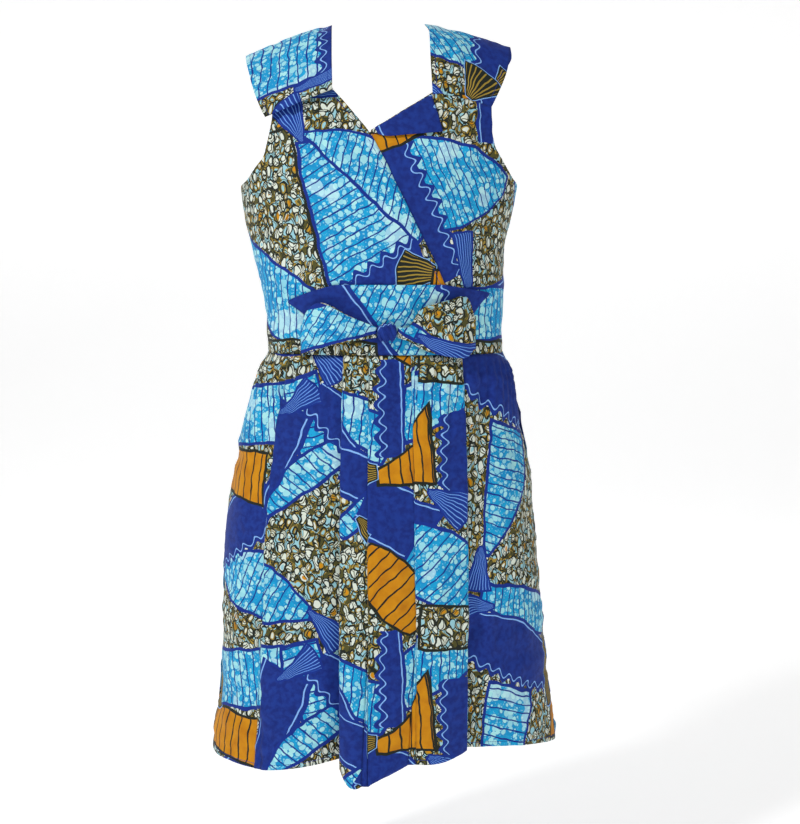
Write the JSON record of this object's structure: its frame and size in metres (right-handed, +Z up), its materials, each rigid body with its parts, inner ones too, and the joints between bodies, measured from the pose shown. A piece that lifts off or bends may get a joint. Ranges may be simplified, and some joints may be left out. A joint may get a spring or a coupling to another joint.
{
  "type": "ankara wax print dress",
  "caption": "Sleeveless knee-length dress with a wrapped V-neck bodice, wide shoulder straps, a knotted midriff bow and a pleated skirt, in figured wax-print cotton.",
  "frame": {"origin": "midway between the wearer's shoulders, level with the tops of the shoulder straps", "axes": "+Z up from hem to shoulders, the front faces -Y, the wearer's left is +X"},
  "size_m": [0.457, 0.3179, 0.9601],
  "materials": {
    "wax_print": "plain-woven cotton with a wax-resist print in turquoise, royal blue, ochre, olive and orange, slightly calendered"
  },
  "bodies": {
    "root": {"right_front": "wax_print", "left_front": "wax_print", "right_back": "wax_print", "left_back": "wax_print", "right_strap": "wax_print", "left_strap": "wax_print", "neckline_fold": "wax_print", "midriff_panel": "wax_print", "bow_loop_right": "wax_print", "bow_loop_left": "wax_print", "bow_knot": "wax_print", "skirt_front": "wax_print", "skirt_back_right": "wax_print", "skirt_back_left": "wax_print"}
  },
  "joints": []
}
